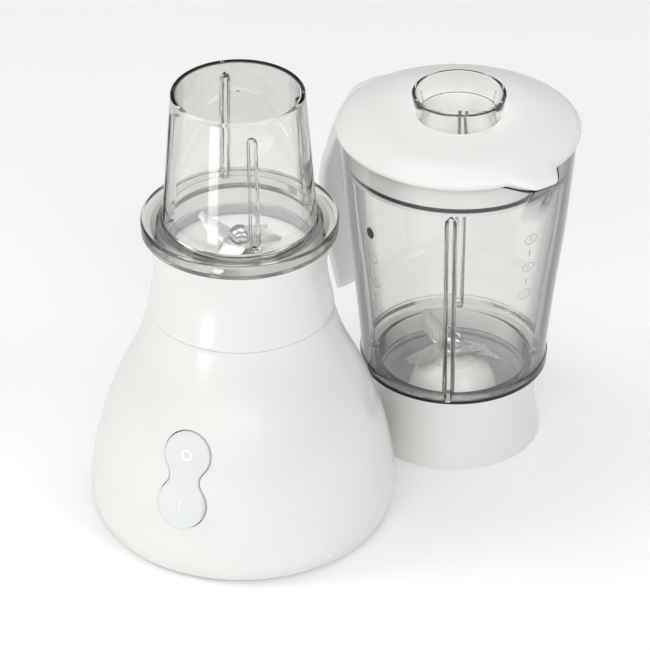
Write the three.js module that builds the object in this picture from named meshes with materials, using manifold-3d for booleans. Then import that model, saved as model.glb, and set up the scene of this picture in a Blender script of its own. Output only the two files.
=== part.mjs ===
// A compact food processor: a motorised power unit with a herb and spice mill locked on top of it,
// and a second attachment, a blending goblet with its lid, standing beside it on its own collar.
// Millimetres, +Z up. The origin is the middle of the footprint, on the surface the object stands on.
import * as THREE from "three";
import { mergeVertices } from "three/addons/utils/BufferGeometryUtils.js";
import Module from "manifold-3d";

const wasm = await Module();
wasm.setup();

// ---- driving dimensions ----
const gap = 0.3; // clearance left between pieces that touch
const largeSides = 32; // facets round the casing, goblet and lid
const collarSides = 28; // facets round the collars and what fits in them
const casingWall = 2.6;
const clearWall = 2.4;

const footHeight = 2.2;
const footCircle = 60; // radius of the circle the feet stand on
const footAzimuths = [20, 110, 200, 290];
const baseScrewCircle = 64;
const screwAzimuths = [65, 155, 245, 335];
const housingBottom = 1.5;
const housingTop = 123.7; // shoulder that an attachment's collar stands on
const housingSide = [ // radius, height up the outside of the pear-shaped casing
  [78.3, housingBottom], [81.5, 13], [79.9, 28], [75.5, 50],
  [67, 75], [55.4, 100], [49.4, 118], [48.6, housingTop],
];
const deckRadius = 44;
const bossRadius = 40;
const bossTop = 131;
const wellRadius = 15.5;

const switchTilt = 17.3; // how far the casing leans back at the switch, degrees
const switchUpper = { radius: 12.7, z: 70.7 };
const switchLower = { radius: 13.3, z: 45.4 };
const switchWaist = 7.7; // radius of the hollow curve that joins the two circles on each side
const switchFace = 72.8; // distance from the axis to the casing, midway between the two circles
const switchPlay = 0.5;
const switchRest = -3; // at rest, off, the upper end is tilted in by this many degrees

const shaftRadius = 4;
const bearingRadius = 9;
const boreRadius = 18.5;
const statorBottom = 55;
const statorTop = 85;
const boltX = 29;
const postX = 26;
const postY = 18;

const collarHeight = 44.6;
const collarFloor = 30;
const bladeShaftRadius = 3;
const starTeeth = 8;
const starOuter = 11;
const starInner = 9;
const starTop = 139.5;

const millTop = 125.4; // heights on the attachments are measured from the foot of their collar
const flangeRadius = 51;
const flangeBottom = 45;
const flangeTop = 53;
const millRibAzimuth = -53.7;

const gobletOffset = [76.6, 110.4]; // from the power unit's axis to the goblet's axis
const gobletRim = 186.5;
const gobletSide = [ // radius, height up the outside of the goblet
  [51.2, flangeBottom], [51.2, 50], [50.8, 57], [54.5, 95],
  [58.5, 130], [61, 160], [63, gobletRim],
];
const gobletRibAzimuth = -71.7;
const spoutAzimuth = -26.7;
const spoutReach = 17;
const spoutHalfAngle = 24; // degrees
const spoutStart = 150;
const handleAzimuth = 153.3;
const handleWidth = 21;
const pinPlace = { radius: 67, z: gobletRim - 13.5 }; // the pin that holds the handle to the goblet's lug
const upperBladeAzimuth = 160;
const lowerBladeAzimuth = 35;

const lidRadius = 64.8;
const lidTop = 195.8;
const plugBottom = gobletRim - 18; // how far the lid reaches down into the goblet
const capHole = 21.9;
const capFloor = 184.4;
const capTop = 208.4;

// ---- finishes ----
function finish(color, roughness, metalness = 0) {
  return new THREE.MeshStandardMaterial({ color, roughness, metalness });
}
const whitePlastic = finish(0xe9e8e4, 0.25);
const clearPlastic = finish(0xdfe6ea, 0.05);
const sealRubber = finish(0x8f9193, 0.6);
const footRubber = finish(0x3a3a3c, 0.8);
const steel = finish(0xc4c6c8, 0.25, 1);
const blackPlastic = finish(0x242426, 0.5);
const copper = finish(0xb06a3c, 0.35, 1);
const laminations = finish(0x6c6f73, 0.5, 0.8);

// ---- shape helpers ----
const radians = THREE.MathUtils.degToRad;
const v2 = (pair) => new THREE.Vector2(pair[0], pair[1]);

function solid(geometry) {
  const bare = geometry.clone();
  bare.deleteAttribute("normal");
  bare.deleteAttribute("uv");
  const merged = mergeVertices(bare, 1e-3);
  return new wasm.Manifold(new wasm.Mesh({
    numProp: 3,
    vertProperties: new Float32Array(merged.attributes.position.array),
    triVerts: new Uint32Array(merged.index.array),
  }));
}

function geometryOf(made) {
  const mesh = made.getMesh();
  const geometry = new THREE.BufferGeometry();
  geometry.setAttribute("position", new THREE.BufferAttribute(mesh.vertProperties, 3));
  geometry.setIndex(new THREE.BufferAttribute(mesh.triVerts, 1));
  return geometry;
}

const join = (first, ...rest) =>
  geometryOf(rest.reduce((sum, g) => sum.add(solid(g)), solid(first)));
const cut = (first, ...rest) =>
  geometryOf(rest.reduce((left, g) => left.subtract(solid(g)), solid(first)));
const common = (a, b) => geometryOf(solid(a).intersect(solid(b)));

// Turns a closed outline of [radius, height] pairs about Z. Column 0 of the mesh lies at azimuth 0.
function revolve(outline, segments = 32) {
  const points = outline.map((p) => (p.isVector2 ? p : v2(p)));
  if (THREE.ShapeUtils.area(points) < 0) points.reverse();
  points.push(points[0].clone());
  return new THREE.LatheGeometry(points, segments, Math.PI / 2).rotateX(Math.PI / 2);
}

const disc = (radius, bottom, top, segments = 16) =>
  revolve([[0, bottom], [radius, bottom], [radius, top], [0, top]], segments);
const tube = (outer, inner, bottom, top, segments = 24) =>
  revolve([[inner, bottom], [outer, bottom], [outer, top], [inner, top]], segments);

function block(x0, x1, y0, y1, z0, z1) {
  return new THREE.BoxGeometry(x1 - x0, y1 - y0, z1 - z0)
    .translate((x0 + x1) / 2, (y0 + y1) / 2, (z0 + z1) / 2);
}

// A flat outline of [x, y] pairs raised from bottom to top.
function raised(outline, bottom, top) {
  return new THREE.ExtrudeGeometry(new THREE.Shape(outline.map(v2)),
    { depth: top - bottom, bevelEnabled: false }).translate(0, 0, bottom);
}

// A side view of [radius, height] pairs, as thick as width, standing in the plane of azimuth 0.
function upright(outline, width, bevel = 0) {
  const points = outline.map((p) => (p.isVector2 ? p : v2(p)));
  return new THREE.ExtrudeGeometry(new THREE.Shape(points), {
    depth: width - 2 * bevel,
    bevelEnabled: bevel > 0,
    bevelThickness: bevel,
    bevelSize: bevel,
    bevelOffset: -bevel,
    bevelSegments: 2,
  }).translate(0, 0, -width / 2 + bevel).rotateX(Math.PI / 2);
}

const turned = (geometry, degrees) => geometry.rotateZ(radians(degrees));
const smooth = (pairs, steps) => new THREE.SplineCurve(pairs.map(v2)).getPoints(steps);

// Moves an outline that runs upwards towards the axis by the thickness of a wall.
function inset(points, distance) {
  return points.map((p, i) => {
    const before = points[Math.max(i - 1, 0)];
    const after = points[Math.min(i + 1, points.length - 1)];
    const along = after.clone().sub(before).normalize();
    return new THREE.Vector2(p.x - along.y * distance, p.y + along.x * distance);
  });
}

const between = (points, low, high) => points.filter((p) => p.y > low && p.y < high);

function radiusAt(points, height) {
  const above = points.findIndex((p) => p.y >= height);
  const [a, b] = [points[above - 1], points[above]];
  return a.x + ((b.x - a.x) * (height - a.y)) / (b.y - a.y);
}

function star(grow, bottom, top) {
  const outline = Array.from({ length: 2 * starTeeth }, (_, i) => {
    const r = (i % 2 ? starInner : starOuter) + grow;
    const angle = (Math.PI * i) / starTeeth;
    return [r * Math.cos(angle), r * Math.sin(angle)];
  });
  return raised(outline, bottom, top);
}

function named(name, geometry, material) {
  const mesh = new THREE.Mesh(geometry, material);
  mesh.name = name;
  return mesh;
}

// ---- power unit: casing ----
// Draws an outline that faces the user onto the casing: x across, y up the leaning face, z outwards.
const switchMiddle = (switchUpper.z + switchLower.z) / 2;
const toSwitch = (geometry) => geometry
  .rotateX(Math.PI / 2 - radians(switchTilt))
  .translate(0, -switchFace, switchMiddle);

// The two circles of the switch, blended at the waist, and the whole made larger by grow.
function figureEight(grow) {
  const lean = Math.cos(radians(switchTilt));
  const high = (switchUpper.z - switchMiddle) / lean;
  const low = (switchLower.z - switchMiddle) / lean;
  const [toUpper, toLower] = [switchUpper.radius + switchWaist, switchLower.radius + switchWaist];
  const span = high - low;
  const down = (toUpper ** 2 + span ** 2 - toLower ** 2) / (2 * span);
  const side = Math.sqrt(toUpper ** 2 - down ** 2);
  const middle = high - down;
  const up = Math.atan2(high - middle, side);
  const under = Math.atan2(low - middle, side);
  const shape = new THREE.Shape();
  shape.absarc(0, high, switchUpper.radius + grow, -up, Math.PI + up, false);
  shape.absarc(-side, middle, switchWaist - grow, up, under, true);
  shape.absarc(0, low, switchLower.radius + grow, Math.PI + under, 2 * Math.PI - under, false);
  shape.absarc(side, middle, switchWaist - grow, Math.PI - under, Math.PI - up, true);
  return shape;
}

const housingCurve = smooth(housingSide, 9);

function motorHousing() {
  const inside = between(inset(housingCurve, casingWall), 4, 116).reverse();
  const shell = revolve([
    ...housingCurve,
    [deckRadius + gap, housingTop], [deckRadius + gap, housingTop - 2.8],
    [bossRadius + gap, housingTop - 2.8], [bossRadius + gap, housingTop - 5.4],
    [46.2, housingTop - 5.4], ...inside, [housingCurve[0].x - casingWall, housingBottom],
  ], largeSides);
  const body = revolve([[0, housingBottom], ...housingCurve, [0, housingTop]], largeSides);
  const pillars = screwAzimuths.map((azimuth) =>
    common(turned(tube(4.5, 1.7, 6, 78, 10).translate(baseScrewCircle, 0, 0), azimuth), body));
  const opening = toSwitch(new THREE.ExtrudeGeometry(figureEight(switchPlay),
    { depth: 24, bevelEnabled: false, curveSegments: 6 }).translate(0, 0, -14));
  const inlet = disc(5.6, 0, 20, 14).rotateX(-Math.PI / 2).translate(0, 70, 18);
  return cut(join(shell, ...pillars), opening, inlet);
}

function basePlate() {
  const plate = revolve([[0, 2.5], [75.3, 2.5], [75.3, 5.5], [0, 5.5]], 28);
  const holes = screwAzimuths.flatMap((azimuth) => [
    turned(disc(2.1, 0, 8, 8).translate(baseScrewCircle, 0, 0), azimuth),
    turned(disc(4.2, 0, 3.9, 10).translate(baseScrewCircle, 0, 0), azimuth),
  ]);
  for (const azimuth of footAzimuths)
    holes.push(turned(disc(2.9, 0, 8, 8).translate(footCircle, 0, 0), azimuth));
  for (let y = -15; y <= 15; y += 10) holes.push(block(-22, 22, y - 2, y + 2, 0, 8));
  return cut(plate, ...holes);
}

const foot = () => revolve([
  [0, 0], [7.5, 0], [7, footHeight], [2.6, footHeight], [2.6, 5.8], [3.1, 6.6], [0, 8.6],
], 10);

const baseScrew = () => revolve([
  [0, 2.7], [3.8, 2.7], [3.8, 3.6], [1.4, 3.6], [1.4, 15], [0, 16],
], 10);

// The deck closes the top of the casing: a raised boss with three lugs that a collar turns under,
// a well for the coupling, and four posts that the motor hangs from.
function socketDeck() {
  const deck = revolve([
    [deckRadius, housingTop - 2.5], [deckRadius, housingTop], [bossRadius, housingTop],
    [bossRadius, bossTop], [wellRadius, bossTop], [wellRadius, 112], [wellRadius + 2.5, 112],
    [wellRadius + 2.5, bossTop - 2.5], [bossRadius - 2.5, bossTop - 2.5],
    [bossRadius - 2.5, 117], [bossRadius, 117], [bossRadius, housingTop - 2.5],
  ], collarSides);
  const posts = [[1, 1], [-1, 1], [-1, -1], [1, -1]].map(([x, y]) =>
    disc(4, 100, bossTop - 1, 8).translate(x * postX, y * postY, 0));
  const lugs = [90, 210, 330].map((azimuth) =>
    turned(block(38.5, 43.4, -7, 7, 126.5, 129.5), azimuth));
  return join(deck, ...posts, ...lugs);
}

const cordBush = () => revolve([
  [3.4, -5], [5.3, -5], [5.3, 0], [7.5, 0], [7.5, 1.6], [6.6, 2.4], [3.4, 2.4],
], 16).rotateX(-Math.PI / 2).translate(0, 81.9, 18);

// ---- power unit: switch ----
function rockerSwitch() {
  const plate = new THREE.ExtrudeGeometry(figureEight(0),
    { depth: 4.4, bevelEnabled: true, bevelThickness: 0.8, bevelSize: 0.8, bevelOffset: -0.8,
      bevelSegments: 1, curveSegments: 8 }).translate(0, 0, -4.2);
  const rocker = join(plate, block(-5, 5, -4, 4, -9, -3));
  return toSwitch(rocker.rotateX(radians(switchRest)));
}

const switchBody = () => toSwitch(join(
  block(-9, 9, -13, 13, -26, -10.2),
  ...[-7, 0, 7].map((y) => block(-3, 3, y - 0.5, y + 0.5, -33, -25.5)),
));

// ---- power unit: motor ----
function motorStator() {
  const stack = raised([
    [-33, -20], [-25, -28], [25, -28], [33, -20], [33, 20], [25, 28], [-25, 28], [-33, 20],
  ], statorBottom, statorTop);
  const slots = [1, -1].map((side) =>
    block(-24.8, 24.8, side > 0 ? 13.6 : -21.6, side > 0 ? 21.6 : -13.6, 50, 90));
  const holes = [boltX, -boltX].map((x) => disc(2.4, 50, 90, 8).translate(x, 0, 0));
  return cut(stack, disc(boreRadius, 50, 90, 24), ...slots, ...holes);
}

function fieldCoil(side) {
  const loop = cut(block(17.6, 24.4, -21.2, 21.2, 48, 92), block(10, 30, -14, 14, 54.6, 85.4));
  return side > 0 ? loop : loop.rotateZ(Math.PI);
}

const armature = () => revolve([
  [shaftRadius + gap, 47], [9, 46.4], [14, 50], [14, 54], [17.6, statorBottom],
  [17.6, statorTop], [14, 86], [14, 90], [9, 93.4], [shaftRadius + gap, 93.4],
], 18);

const commutator = () => tube(10, shaftRadius + gap, 33, 45, 20);
const motorShaft = () => revolve([
  [0, 10.5], [3.4, 10.5], [shaftRadius, 11.5], [shaftRadius, 137], [3.4, 137.8], [0, 137.8],
], 12);
const bearing = (bottom) => tube(bearingRadius, shaftRadius + 0.08, bottom, bottom + 6, 18);

// A steel bridge across one end of the stator, with a seat for a bearing.
function motorBracket(outline, bottom, holes) {
  return cut(raised(outline, bottom, bottom + 3), disc(bearingRadius + gap, 0, 120, 18),
    ...holes.map(([x, y]) => disc(2.4, 0, 120, 8).translate(x, y, 0)));
}
const lowerBracket = () => motorBracket([
  [-34, -8], [-14, -26], [14, -26], [34, -8], [34, 8], [14, 26], [-14, 26], [-34, 8],
], 25, [[boltX, 0], [-boltX, 0]]);
const upperBracket = () => motorBracket([
  [-34, -22], [34, -22], [34, 22], [-34, 22],
], 96.7, [[boltX, 0], [-boltX, 0]]);

const motorBolt = (x) => revolve([
  [0, 21.6], [3.6, 21.6], [3.6, 24.7], [2, 24.7], [2, 102], [0, 102],
], 10).translate(x, 0, 0);

const brushHolder = (side) => cut(
  block(-5, 5, side > 0 ? 11.5 : -24, side > 0 ? 24 : -11.5, 28.3, 44),
  block(-3, 3, side > 0 ? 9 : -22, side > 0 ? 22 : -9, 35, 42),
);
const carbonBrush = (side) =>
  block(-2.6, 2.6, side > 0 ? 10.6 : -21, side > 0 ? 21 : -10.6, 35.4, 41.6);

function coolingFan() {
  const hub = tube(8, shaftRadius + gap, 11, 21, 16);
  const back = tube(29, 7, 19.4, 21, 24);
  const vanes = Array.from({ length: 8 }, (_, i) =>
    turned(block(7, 28.4, -0.8, 0.8, 12, 20), 45 * i));
  return join(hub, back, ...vanes);
}

const driveCoupling = () => cut(
  join(star(0, 123, starTop), disc(12.6, 120.5, 124.5, 24)),
  disc(shaftRadius + gap, 110, 138.2, 12),
);

// ---- pieces that both attachments share, measured from the foot of the collar ----
// The floor outline is what the collar carries inside: a web or a ledge, listed from the top down.
function collar(floor) {
  const outside = smooth([[48.6, 0], [48.3, 3], [46, 14], [45, 25], [46, 35], [48.4, collarHeight]], 6);
  const shell = revolve([
    ...outside, [46, collarHeight], [43.5, 35], ...floor, [45.2, 6], [46.2, 0],
  ], collarSides);
  const lugs = [30, 150, 270].map((azimuth) =>
    turned(block(43.8, 46.6, -6, 6, 1, 4), azimuth));
  return join(shell, ...lugs);
}

const drivenCoupling = () => cut(
  disc(14.5, 4, 21, 24), star(0.5, 0, 16), disc(bladeShaftRadius + gap, 17.4, 30, 12));

const bladeShaft = (top) => disc(bladeShaftRadius, 17.7, top, 12);

// A pointed steel strip whose two wings are bent by rise degrees, with a bore for the blade shaft.
function bladeStrip(reach, rise, width, bottom, azimuth) {
  const thickness = 1.4;
  const flat = 7.5; // half the length of the unbent middle
  const lift = (reach - flat) * Math.tan(radians(rise));
  const side = upright([
    [-reach, lift], [-flat, 0], [flat, 0], [reach, lift],
    [reach, lift + thickness], [flat, thickness], [-flat, thickness], [-reach, lift + thickness],
  ], 2 * width);
  const plan = raised([
    [-reach, -1], [-flat, -width / 2], [flat, -width / 2], [reach, 1],
    [flat, width / 2], [-flat, width / 2],
  ], -40, 40);
  const bore = disc(bladeShaftRadius + gap, -20, 20, 12);
  return turned(cut(common(side, plan), bore), azimuth).translate(0, 0, bottom);
}

const capNut = (bottom) => cut(
  revolve([
    [0, bottom], [5.8, bottom], [5.8, bottom + 4], [3.4, bottom + 6.4], [0, bottom + 6.4],
  ], 6),
  disc(bladeShaftRadius + gap, bottom - 1, bottom + 4.6, 10),
);

// ---- mill attachment ----
const millCollar = () => collar([
  [43.3, collarFloor], [9.3, collarFloor], [9.3, collarFloor - 3.5], [42.6, collarFloor - 3.5],
]);

const shaftBush = (bottom, seat, top) => revolve([
  [bladeShaftRadius + 0.08, bottom], [9, bottom], [9, seat], [11, seat], [11, top],
  [bladeShaftRadius + 0.08, top],
], 16);

const millJarInside = [[38.6, 36.6], [38.2, flangeBottom], [37.4, flangeTop], [31.2, millTop - 3.4]];

function millJar() {
  const body = revolve([
    [0, millTop - 2.5], [30.2, millTop - 2.5], ...millJarInside.slice().reverse(),
    [42.7, 36.6], [42.7, flangeBottom], [flangeRadius - 0.4, flangeBottom],
    [flangeRadius, flangeBottom + 1.2], [flangeRadius, flangeTop - 1.5],
    [flangeRadius - 1.2, flangeTop], [41, flangeTop], [39.9, flangeTop + 1.2],
    [34, millTop - 1.8], [32.4, millTop], [0, millTop],
  ], collarSides);
  const ribs = [0, 90, 180, 270].map((azimuth) => turned(upright([
    [38.2, flangeTop - 2], [32.2, millTop - 5], [28.6, millTop - 8], [33.6, flangeTop + 2],
  ], 2.2), millRibAzimuth + azimuth));
  return join(body, ...ribs);
}

const millSeal = () => tube(42.8, 38.8, collarFloor + gap, 36.3, collarSides);

const millBlades = () => join(bladeStrip(24, 24, 12, 38, 0), bladeStrip(24, -14, 12, 37.6, 90));

// ---- goblet attachment ----
const ledgeTop = 28;
const gobletCollar = () => collar([
  [43.6, ledgeTop], [38, ledgeTop], [38, ledgeTop - 3], [43, ledgeTop - 3],
]);

// The blade unit's bowl: a rim that the goblet clamps, a stepped trough and a central dome.
function bladeBowl() {
  const dome = smooth([[24, 26], [21, 33], [15, 40], [9.5, 44.4]], 4);
  const under = inset(dome, clearWall).reverse();
  return revolve([
    [43, ledgeTop + gap], [43, 31.4], [39, 31.4], [36.5, 29], [35, 26], ...dome,
    [9.3, 44.4], [9.3, 36], ...under.slice(1, -1), [22, 23], [37.6, 23], [37.6, ledgeTop + gap],
  ], collarSides);
}

const gobletSeal = () => tube(43, 40.2, 31.7, 34.2, collarSides);

const gobletCurve = smooth(gobletSide, 8);
const gobletInside = inset(gobletCurve, clearWall);

// How far the wall swings out at the spout, for a vertex of the goblet or its lid.
function pullSpout(geometry, moves) {
  const p = geometry.attributes.position;
  for (let i = 0; i < p.count; i++) {
    const [x, y, z] = [p.getX(i), p.getY(i), p.getZ(i)];
    const radius = Math.hypot(x, y);
    const off = Math.abs(THREE.MathUtils.radToDeg(Math.atan2(y, x))) / spoutHalfAngle;
    const rise = THREE.MathUtils.clamp((z - spoutStart) / (gobletRim - spoutStart), 0, 1);
    if (off >= 1 || !moves(radius, z)) continue;
    const scale = 1 + (spoutReach * (1 - off) ** 1.4 * rise ** 2) / radius;
    p.setXY(i, x * scale, y * scale);
  }
  return geometry;
}

function goblet() {
  const inside = between(gobletInside, 49, gobletRim - 1).reverse();
  const body = pullSpout(revolve([
    ...gobletCurve, [60.6, gobletRim], ...inside, [46.8, 48.2], [40.2, 46.8], [40.2, 34.5],
    [43.2, 34.5], [43.2, flangeBottom],
  ], largeSides), () => true);
  const ribs = [0, 90, 180, 270].map((azimuth) => turned(upright([
    [radiusAt(gobletInside, 56) + 1, 56], [radiusAt(gobletInside, 168) + 1, 168],
    [radiusAt(gobletInside, 168) - 1, 168], [radiusAt(gobletInside, 60) - 4, 60],
  ], 2.4), gobletRibAzimuth - spoutAzimuth + azimuth));
  const toHandle = handleAzimuth - spoutAzimuth;
  const lug = turned(block(61, 69.4, -4, 4, pinPlace.z - 6.5, pinPlace.z + 6.5), toHandle);
  return turned(cut(join(body, ...ribs, lug), turned(pin(1.8, 9), toHandle)), spoutAzimuth);
}

// The handle's pin, or the hole for it, lying across the plane of azimuth 0.
const pin = (radius, halfLength) => disc(radius, -halfLength, halfLength, 10)
  .rotateX(Math.PI / 2).translate(pinPlace.radius, 0, pinPlace.z);

function handle() {
  const outer = smooth([
    [71, gobletRim + 2], [81, 175], [89, 160], [97, 142], [104.5, 113], [100.5, 80], [95.5, 56],
    [92.5, 43],
  ], 13);
  const inner = smooth([
    [85, 44], [87.5, 57], [92.5, 80], [96.3, 112], [89.5, 137], [81.5, 152], [74, 160], [64.6, 162.5],
  ], 12);
  const strap = upright([...outer, ...inner, [66, gobletRim + 2]], handleWidth, 2.4);
  const lugPocket = block(60, 69.8, -4.4, 4.4, pinPlace.z - 6.9, pinPlace.z + 6.9);
  return turned(cut(strap, lugPocket, pin(1.8, handleWidth)), handleAzimuth);
}

const handlePin = () => turned(pin(1.5, 9.6), handleAzimuth);

function lid() {
  const crown = smooth([[64.2, 190.7], [60, 192.1], [45, 194.7], [capHole, lidTop]], 3);
  const plate = revolve([
    ...crown, [capHole, 183.4], [24.2, 183.4], [24.2, 192.4], [57, 188.4], [56.8, plugBottom],
    [58.9, plugBottom], [59, plugBottom + 2], [57.6, plugBottom + 2], [57.6, plugBottom + 5],
    [59.2, plugBottom + 5], [60, gobletRim + gap], [lidRadius - 0.4, gobletRim + gap],
    [lidRadius, gobletRim + 1], [lidRadius, 189.9],
  ], largeSides);
  return turned(pullSpout(plate, (radius, z) => radius > 62 && z > gobletRim), spoutAzimuth);
}

const lidSeal = () => turned(
  tube(59.1, 57.9, plugBottom + 2 + gap, plugBottom + 5 - gap, largeSides), spoutAzimuth);

const fillerCap = () => revolve([
  [0, capFloor], [21.4, capFloor], [21.5, lidTop + gap], [22.7, lidTop + gap],
  [24.8, capTop - 0.8], [24.6, capTop], [23.2, capTop], [20.4, lidTop],
  [19.3, capFloor + 2.2], [0, capFloor + 2.2],
], 24);

// ---- assembly ----
function powerUnit() {
  const unit = new THREE.Group();
  unit.add(
    named("motor_housing", motorHousing(), whitePlastic),
    named("base_plate", basePlate(), whitePlastic),
    named("socket_deck", socketDeck(), whitePlastic),
    named("cord_inlet_bush", cordBush(), footRubber),
    named("rocker_switch", rockerSwitch(), whitePlastic),
    named("switch_body", switchBody(), blackPlastic),
    named("motor_stator", motorStator(), laminations),
    named("field_coil_right", fieldCoil(1), copper),
    named("field_coil_left", fieldCoil(-1), copper),
    named("armature", armature(), copper),
    named("commutator", commutator(), copper),
    named("motor_shaft", motorShaft(), steel),
    named("lower_bearing", bearing(24.6), steel),
    named("upper_bearing", bearing(96.4), steel),
    named("lower_motor_bracket", lowerBracket(), steel),
    named("upper_motor_bracket", upperBracket(), steel),
    named("cooling_fan", coolingFan(), blackPlastic),
    named("drive_coupling", driveCoupling(), blackPlastic),
  );
  [1, -1].forEach((side, i) => {
    unit.add(
      named(`motor_bolt_${i + 1}`, motorBolt(side * boltX), steel),
      named(`brush_holder_${i + 1}`, brushHolder(side), blackPlastic),
      named(`carbon_brush_${i + 1}`, carbonBrush(side), blackPlastic),
    );
  });
  const aroundBase = (mesh, circle, azimuth) => {
    mesh.position.set(circle, 0, 0).applyAxisAngle(mesh.up.set(0, 0, 1), radians(azimuth));
    return mesh;
  };
  footAzimuths.forEach((azimuth, i) =>
    unit.add(aroundBase(named(`foot_${i + 1}`, foot(), footRubber), footCircle, azimuth)));
  screwAzimuths.forEach((azimuth, i) =>
    unit.add(aroundBase(named(`base_screw_${i + 1}`, baseScrew(), steel), baseScrewCircle, azimuth)));
  return unit;
}

function millAttachment() {
  const mill = new THREE.Group();
  mill.add(
    named("mill_collar", millCollar(), whitePlastic),
    named("mill_jar", millJar(), clearPlastic),
    named("mill_seal", millSeal(), sealRubber),
    named("mill_shaft_bush", shaftBush(24.5, collarFloor + gap, collarFloor + 2.6), steel),
    named("mill_blade_shaft", bladeShaft(41), steel),
    named("mill_blades", millBlades(), steel),
    named("mill_blade_nut", capNut(39.8), steel),
    named("mill_driven_coupling", drivenCoupling(), blackPlastic),
  );
  return mill;
}

function gobletAttachment() {
  const attachment = new THREE.Group();
  attachment.add(
    named("goblet_collar", gobletCollar(), whitePlastic),
    named("blade_bowl", bladeBowl(), whitePlastic),
    named("goblet_seal", gobletSeal(), sealRubber),
    named("goblet_shaft_bush", shaftBush(30, 44.7, 46.2), steel),
    named("goblet_blade_shaft", bladeShaft(54), steel),
    named("lower_blade", bladeStrip(25, -24, 14, 48, lowerBladeAzimuth), steel),
    named("upper_blade", bladeStrip(25, 28, 14, 49.8, upperBladeAzimuth), steel),
    named("goblet_blade_nut", capNut(51.5), steel),
    named("goblet_driven_coupling", drivenCoupling(), blackPlastic),
    named("goblet", goblet(), clearPlastic),
    named("handle", handle(), whitePlastic),
    named("handle_pin", handlePin(), steel),
    named("lid", lid(), whitePlastic),
    named("lid_seal", lidSeal(), sealRubber),
    named("filler_cap", fillerCap(), clearPlastic),
  );
  return attachment;
}

function foodProcessor() {
  const mill = millAttachment();
  mill.position.z = housingTop + gap;
  const unit = powerUnit();
  unit.add(mill);
  const attachment = gobletAttachment();
  attachment.position.set(gobletOffset[0], gobletOffset[1], 0);
  const pair = new THREE.Group();
  pair.add(unit, attachment);
  pair.updateMatrixWorld(true);
  const footprint = new THREE.Box3().setFromObject(pair, true);
  const middle = footprint.getCenter(new THREE.Vector3());
  pair.position.set(-middle.x, -middle.y, 0);
  const whole = new THREE.Group();
  whole.name = "food_processor";
  whole.add(pair);
  return whole;
}

export default foodProcessor();
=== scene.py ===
import math

import bmesh
import bpy
import numpy as np
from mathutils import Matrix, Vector


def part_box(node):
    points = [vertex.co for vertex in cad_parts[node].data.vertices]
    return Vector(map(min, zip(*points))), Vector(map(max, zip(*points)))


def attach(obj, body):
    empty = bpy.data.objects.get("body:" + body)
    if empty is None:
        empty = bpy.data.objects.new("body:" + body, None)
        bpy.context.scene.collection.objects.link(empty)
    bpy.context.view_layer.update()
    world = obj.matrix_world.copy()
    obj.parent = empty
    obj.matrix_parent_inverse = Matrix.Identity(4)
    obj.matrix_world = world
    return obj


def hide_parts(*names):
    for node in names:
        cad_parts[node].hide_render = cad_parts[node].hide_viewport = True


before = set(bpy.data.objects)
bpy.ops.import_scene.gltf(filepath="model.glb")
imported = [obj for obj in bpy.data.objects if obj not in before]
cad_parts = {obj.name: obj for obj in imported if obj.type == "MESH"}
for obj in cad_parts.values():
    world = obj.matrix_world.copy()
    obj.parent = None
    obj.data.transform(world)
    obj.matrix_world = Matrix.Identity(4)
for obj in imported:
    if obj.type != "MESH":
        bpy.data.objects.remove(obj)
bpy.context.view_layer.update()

# Lengths below are millimetres; MM turns them into metres when a mesh is made.
MM = 0.001


def middle(node):
    """The point on the floor under the middle of a CAD node's box."""
    low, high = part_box(node)
    return Vector(((low.x + high.x) / 2, (low.y + high.y) / 2, 0))


unit_axis = middle("motor_shaft")
goblet_axis = middle("goblet_blade_shaft")
mill_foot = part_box("mill_collar")[0].z / MM

# Turns about each axis, degrees from +X towards +Y.
VIEW_TURN = 23.3
MILL_RIBS = -53.7
GOBLET_RIBS = -71.7
SPOUT = -31.0
HANDLE = 153.3
FIRST_LUG = -66.7


# ---------------------------------------------------------------- camera, light and floor
def add_camera():
    """Looks down on the set from the front, aimed between the two jars."""
    elevation, distance, focal_share = math.radians(33.3), 1.9, 5.595385
    turn = math.radians(VIEW_TURN)
    aim_right, aim_up = 0.0437, 0.1092
    target = unit_axis + Vector((aim_right * math.cos(turn), aim_right * math.sin(turn), aim_up))
    back = Vector((
        math.sin(turn) * math.cos(elevation),
        -math.cos(turn) * math.cos(elevation),
        math.sin(elevation),
    ))
    data = bpy.data.cameras.new("camera")
    data.sensor_width = 36
    data.lens = 36 * focal_share
    data.clip_end = 20
    camera = bpy.data.objects.new("camera", data)
    camera.location = target + back * distance
    camera.rotation_euler = back.to_track_quat("Z", "Y").to_euler()
    bpy.context.scene.collection.objects.link(camera)
    bpy.context.scene.camera = camera


def add_area(name, azimuth, elevation, distance, size, power, tint=(1, 1, 1), glossy=True):
    """A rectangular softbox aimed at the middle of the object."""
    a, e = math.radians(azimuth), math.radians(elevation)
    aim = Vector((0, 0, 0.11))
    back = Vector((math.cos(a) * math.cos(e), math.sin(a) * math.cos(e), math.sin(e)))
    data = bpy.data.lights.new(name, "AREA")
    data.shape = "RECTANGLE"
    data.size, data.size_y = size
    data.energy = power
    data.color = tint
    lamp = bpy.data.objects.new(name, data)
    lamp.visible_glossy = glossy
    lamp.location = aim + back * distance
    lamp.rotation_euler = back.to_track_quat("Z", "Y").to_euler()
    bpy.context.scene.collection.objects.link(lamp)


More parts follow.
